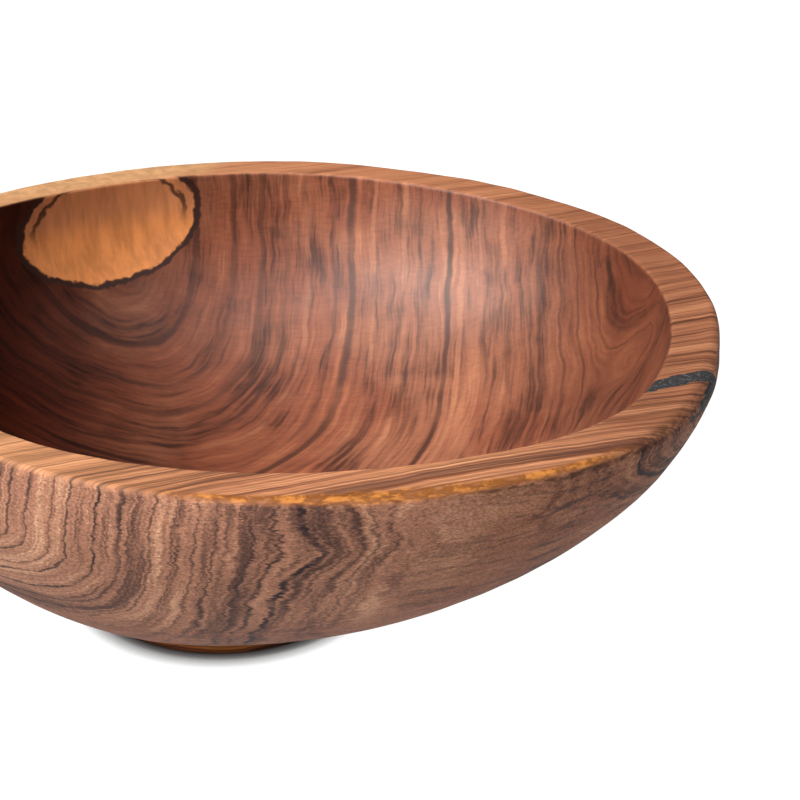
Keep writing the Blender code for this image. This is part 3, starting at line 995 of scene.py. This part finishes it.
def thick_patch(name, top, under, keep):
    """A closed piece between two like grids, where keep is true at all four corners of a quad.

    Edges of the kept quads that only one of them uses are joined top to bottom by side walls.
    """
    rows, columns = keep.shape
    quads = grid_faces(rows, columns, wrapped=False)
    quads = quads[keep.reshape(-1)[quads].all(axis=1)]
    edges = np.concatenate([quads[:, [0, 1]], quads[:, [1, 2]], quads[:, [2, 3]], quads[:, [3, 0]]])
    code = edges.min(axis=1) * (rows * columns) + edges.max(axis=1)
    _, index, count = np.unique(code, return_index=True, return_counts=True)
    border = edges[index[count == 1]]
    lower = rows * columns
    sides = np.stack([border[:, 1], border[:, 0], border[:, 0] + lower, border[:, 1] + lower], axis=-1)
    faces = np.concatenate([quads, quads[:, ::-1] + lower, sides])
    used, renumbered = np.unique(faces, return_inverse=True)
    vertices = np.concatenate([top.reshape(-1, 3), under.reshape(-1, 3)])[used]
    return new_piece(name, vertices, renumbered.reshape(-1, 4), np.zeros((0, 3), int), {})


class BOWL_OT_filler(bpy.types.Operator):
    """Makes the crack's fill as a thick patch of the rim's own surface"""

    bl_idname = "bowl.filler"
    bl_label = "Crack filler"

    def execute(self, context):
        angle = np.linspace(FINE_FROM, FINE_TO, FILLER_COLUMNS)
        over_inside = np.linspace(0.9, 1.0, 20)
        over_wall = np.linspace(4.01, 4.12, 20)
        station = np.concatenate([over_inside, stations(0, 6, 50, 30), over_wall])
        points, fields = body_surface(context.scene.bowl_sizes, angle, station)
        normal = normals_of(points)
        top = points + normal * (sanding(points) - CRACK_GAP)[..., None]
        under = points - normal * FILLER_DEPTH
        piece = thick_patch("crack_filler_fill", top, under, fields["crack"] < FILLER_MARGIN)
        mount(piece, "crack_filler", filler_material(context.scene.bowl_colours))
        return {"FINISHED"}


def foot_profile(size):
    """(radius, height) from the middle of the foot's top, over its two rounded edges, to its underside."""
    quarter = np.linspace(0.0, 0.5 * math.pi, 7)
    inner = size.foot_radius - FOOT_EDGE
    flat = inner * np.linspace(0.1, 1.0, 12)
    upper, lower = inner + FOOT_EDGE * np.sin(quarter), inner + FOOT_EDGE * np.cos(quarter)
    level = np.zeros(len(flat) - 1)
    fall = size.foot_height - FOOT_EDGE * (1.0 - np.cos(quarter))
    radius = np.concatenate([flat[:-1], upper, lower, flat[-2::-1]])
    height = np.concatenate([level + size.foot_height, fall, FOOT_EDGE * (1.0 - np.sin(quarter)), level])
    return radius, height


class BOWL_OT_foot(bpy.types.Operator):
    """Makes the low round foot, turned with softened edges"""

    bl_idname = "bowl.foot"
    bl_label = "Foot"

    def execute(self, context):
        angle = full_turn(FOOT_COLUMNS)
        radius, height = foot_profile(context.scene.bowl_sizes)
        circle = np.stack([np.cos(angle), np.sin(angle), np.zeros_like(angle)], axis=-1)
        grid = radius[:, None, None] * circle + height[:, None, None] * np.array([0.0, 0.0, 1.0])
        x, y, z = np.moveaxis(grid, -1, 0) / MM
        fields = {"level_growth": 1.4 * z + 0.075 * rim_growth(x, y)}
        piece = closed_turning("foot_wood_disc", grid, fields)
        mount(piece, "foot", foot_material(context.scene.bowl_colours))
        return {"FINISHED"}


# ---- Stage ----

CAMERA_PLACE = (0.0514, -0.56875, 0.3304)
CAMERA_TILT = 25.38  # degrees below the level
FLOOR_EXTENT = 6.0
# Name, place, width and depth, watts, and colour of each soft light.
LIGHTS = (
    ("high left", (-0.85, -0.50, 1.30), (0.8, 0.6), 35.0, (1.0, 0.98, 0.96)),
    ("low left", (-1.20, -1.20, 0.45), (0.9, 0.5), 15.0, (1.0, 0.98, 0.96)),
    ("right", (0.75, -0.50, 1.15), (0.35, 0.35), 3.0, (1.0, 1.0, 1.0)),
    ("overhead", (0.10, -0.35, 1.40), (0.6, 0.6), 6.0, (1.0, 1.0, 1.0)),
)


def soft_light(name, place, extent, power, tint):
    """An area light at that place that faces the middle of the bowl."""
    light = bpy.data.lights.new(name, "AREA")
    light.shape = "RECTANGLE"
    light.size, light.size_y = extent
    light.energy = power
    light.color = tint
    lamp = bpy.data.objects.new(name, light)
    away = np.array(place) - (cad_bounds[0] + cad_bounds[1]) / 2
    lean = math.acos(away[2] / np.linalg.norm(away))
    lamp.location = place
    lamp.rotation_euler = (lean, 0.0, math.atan2(away[1], away[0]) + 0.5 * math.pi)
    bpy.context.scene.collection.objects.link(lamp)


def seen_or_not(wires, seen, unseen):
    """One value for what the camera sees directly, and another for the light it gives."""
    return wires.mix(wires.node("ShaderNodeLightPath", output="Is Camera Ray"), unseen, seen)


def make_floor(scene):
    """A wide pale floor that glows, with a painted contact shadow: the glow darkens where something stands
    close over it.
    """
    corners = [(x * FLOOR_EXTENT, y * FLOOR_EXTENT, 0.0) for x, y in ((-1, -1), (1, -1), (1, 1), (-1, 1))]
    mesh = bpy.data.meshes.new("floor")
    mesh.from_pydata(corners, [], [(0, 1, 2, 3)])
    floor = bpy.data.objects.new("floor", mesh)
    scene.collection.objects.link(floor)
    material, wires, shader = new_material("glowing floor", 0.1, 0.9)
    shader.inputs["Base Color"].default_value = (0.12, 0.12, 0.12, 1.0)
    # Painted shadow: the glow falls off with ambient occlusion close under the bowl, not with any lamp's
    # shadow.
    openness_for_painted_shadow = wires.node("ShaderNodeAmbientOcclusion", {"Distance": 0.0075}, output="AO", samples=8)
    wires.join(shader.inputs["Emission Color"], wires.grey(wires.math("POWER", openness_for_painted_shadow, 5.0)))
    wires.join(shader.inputs["Emission Strength"], seen_or_not(wires, 1.0, 0.62))
    mesh.materials.append(material)


def make_world(scene):
    """A white surround that lights the bowl only faintly."""
    world = bpy.data.worlds.new("studio")
    scene.world = world
    world.use_nodes = True
    back = world.node_tree.nodes["Background"]
    back.inputs["Color"].default_value = (1.0, 1.0, 1.0, 1.0)
    wires = Wires(world.node_tree)
    wires.join(back.inputs["Strength"], seen_or_not(wires, 1.0, 0.09))


def make_camera(scene):
    """A camera in front of the bowl that looks down at it."""
    camera = bpy.data.cameras.new("camera")
    camera.lens = 99.0
    camera.sensor_width = 36.0
    eye = bpy.data.objects.new("camera", camera)
    eye.location = CAMERA_PLACE
    eye.rotation_euler = (math.radians(90.0 - CAMERA_TILT), 0.0, 0.0)
    scene.collection.objects.link(eye)
    scene.camera = eye


class BOWL_OT_stage(bpy.types.Operator):
    """Makes the pale floor, the soft studio light and the camera"""

    bl_idname = "bowl.stage"
    bl_label = "Stage"

    def execute(self, context):
        make_floor(context.scene)
        make_world(context.scene)
        for light in LIGHTS:
            soft_light(*light)
        make_camera(context.scene)
        context.scene.view_settings.view_transform = "Standard"
        return {"FINISHED"}


class BOWL_PT_panel(bpy.types.Panel):
    """Lists the bowl's pieces, sizes and colours in the sidebar"""

    bl_idname = "BOWL_PT_panel"
    bl_label = "Carved bowl"
    bl_space_type = "VIEW_3D"
    bl_region_type = "UI"
    bl_category = "Bowl"

    def draw(self, context):
        for operator in OPERATORS:
            self.layout.operator(operator.bl_idname)
        for group in (context.scene.bowl_sizes, context.scene.bowl_colours):
            box = self.layout.box()
            for name in group.__annotations__:
                box.prop(group, name)


OPERATORS = (BOWL_OT_body, BOWL_OT_filler, BOWL_OT_foot, BOWL_OT_stage)
CLASSES = (BowlSizes, BowlColours, *OPERATORS, BOWL_PT_panel)


def register():
    for item in CLASSES:
        bpy.utils.register_class(item)
    bpy.types.Scene.bowl_sizes = bpy.props.PointerProperty(type=BowlSizes)
    bpy.types.Scene.bowl_colours = bpy.props.PointerProperty(type=BowlColours)


def unregister():
    del bpy.types.Scene.bowl_colours
    del bpy.types.Scene.bowl_sizes
    for item in reversed(CLASSES):
        bpy.utils.unregister_class(item)


def main():
    """Makes the stage and the pieces."""
    register()
    bpy.ops.bowl.stage()
    bpy.ops.bowl.body()
    bpy.ops.bowl.filler()
    bpy.ops.bowl.foot()


if __name__ == "__main__":
    main()
